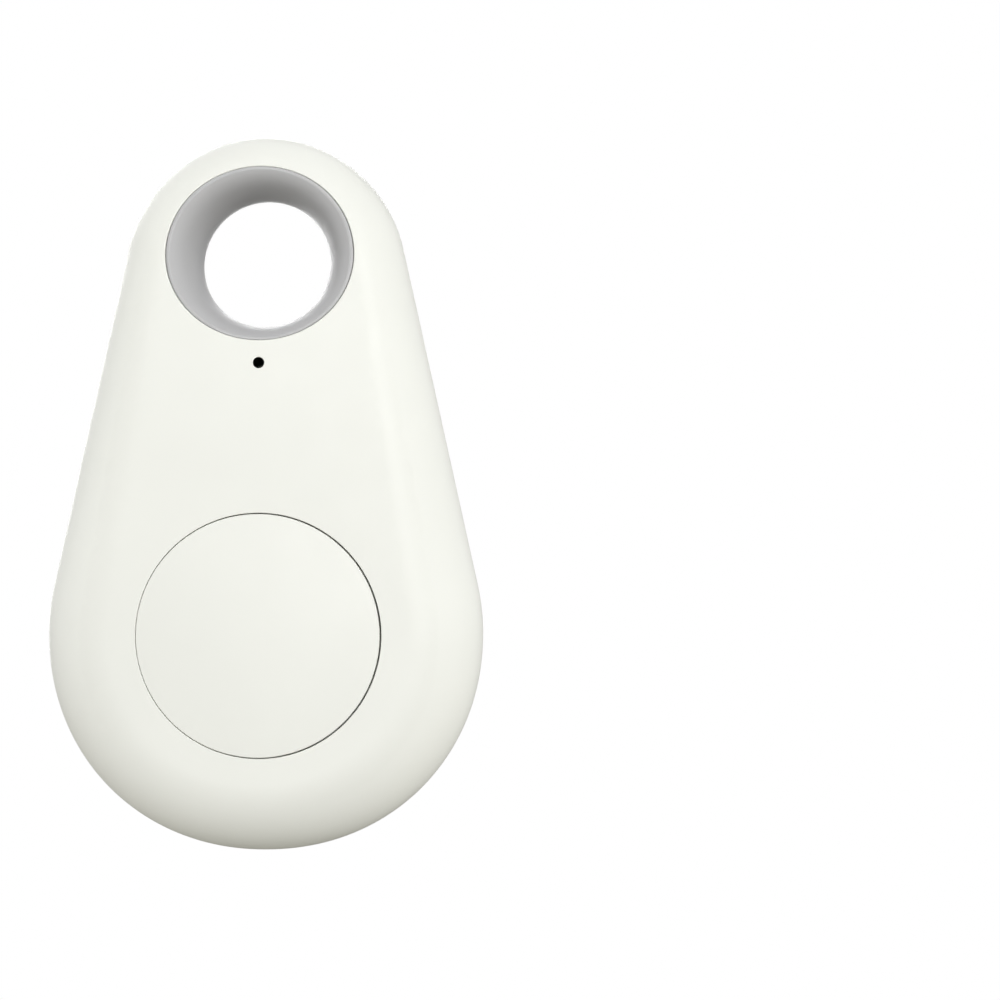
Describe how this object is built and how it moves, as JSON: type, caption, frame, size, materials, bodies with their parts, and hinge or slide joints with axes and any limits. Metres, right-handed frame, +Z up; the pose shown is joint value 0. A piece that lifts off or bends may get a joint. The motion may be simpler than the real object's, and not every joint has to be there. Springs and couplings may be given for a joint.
{
  "type": "bluetooth tracker tag",
  "caption": "Teardrop key-ring tracker tag: two-part shell with a lined ring hole, a flush round front button and a coin-slot battery cover over a coin cell and circuit board.",
  "frame": {"origin": "middle of the key-ring hole, at half the tag's depth", "axes": "+Z up along the tag from the battery end to the hole end, +Y from the front to the back, +X to the right seen from the front"},
  "size_m": [0.0316, 0.011, 0.0519],
  "materials": {
    "case": "satin moulded white",
    "liner": "satin moulded grey",
    "seal": "matte silicone",
    "board": "solder resist over glass laminate",
    "copper": "bare and enamelled copper",
    "chip": "moulded package",
    "black": "moulded",
    "steel": "nickel plated",
    "tin": "tinned",
    "brass": "bright",
    "ceramic": "fired ceramic",
    "ferrite": "pressed ferrite",
    "lens": "clear encapsulant",
    "gasket": "sealing grommet",
    "cathode": "pressed powder"
  },
  "bodies": {
    "case": {"front_shell": "case", "rear_shell": "case", "ring_liner": "liner", "circuit_board": "board", "antenna_trace": "copper", "radio_chip": "chip", "crystal": "tin", "inductor": "ferrite", "status_led": "lens", "switch_base": "black", "switch_frame": "steel", "switch_dome": "steel", "sounder_case": "black", "sounder_yoke": "steel", "sounder_coil": "copper", "sounder_magnet": "ferrite", "sounder_diaphragm": "brass", "negative_contact": "tin", "positive_contact": "tin", "capacitor_1": "ceramic", "capacitor_2": "ceramic", "capacitor_3": "ceramic", "capacitor_4": "ceramic", "resistor_1": "chip", "resistor_2": "chip", "resistor_3": "chip", "resistor_4": "chip"},
    "button": {"button_cap": "case"},
    "plunger": {"switch_plunger": "black"},
    "cover_ring": {"cover_seal": "seal"},
    "cover": {"battery_cover": "case"},
    "coin_cell": {"cell_can": "steel", "cell_gasket": "gasket", "cell_cap": "steel", "cell_lithium": "tin", "cell_cathode": "cathode"}
  },
  "joints": [
    {"name": "button_press", "type": "slide", "parent": "case", "child": "button", "axis": [0, 1, 0], "range_m": [0, 0.00025], "stiffness_N_per_m": 2000, "springref_m": -0.0003},
    {"name": "plunger_press", "type": "slide", "parent": "case", "child": "plunger", "axis": [0, 1, 0], "range_m": [0, 0.00025]},
    {"name": "cover_lift", "type": "slide", "parent": "case", "child": "cover_ring", "axis": [0, 1, 0], "range_m": [0, 0.014]},
    {"name": "cover_turn", "type": "hinge", "parent": "cover_ring", "child": "cover", "pos_m": [0, 0, -0.027], "axis": [0, 1, 0], "range_deg": [0, 27]},
    {"name": "cell_lift", "type": "slide", "parent": "case", "child": "coin_cell", "axis": [0, 1, 0], "range_m": [0, 0.007]}
  ],
  "couplings": [
    {"joint": "plunger_press", "follows": "button_press", "ratio": 1},
    {"joint": "cell_lift", "follows": "cover_lift", "ratio": 0.5}
  ]
}
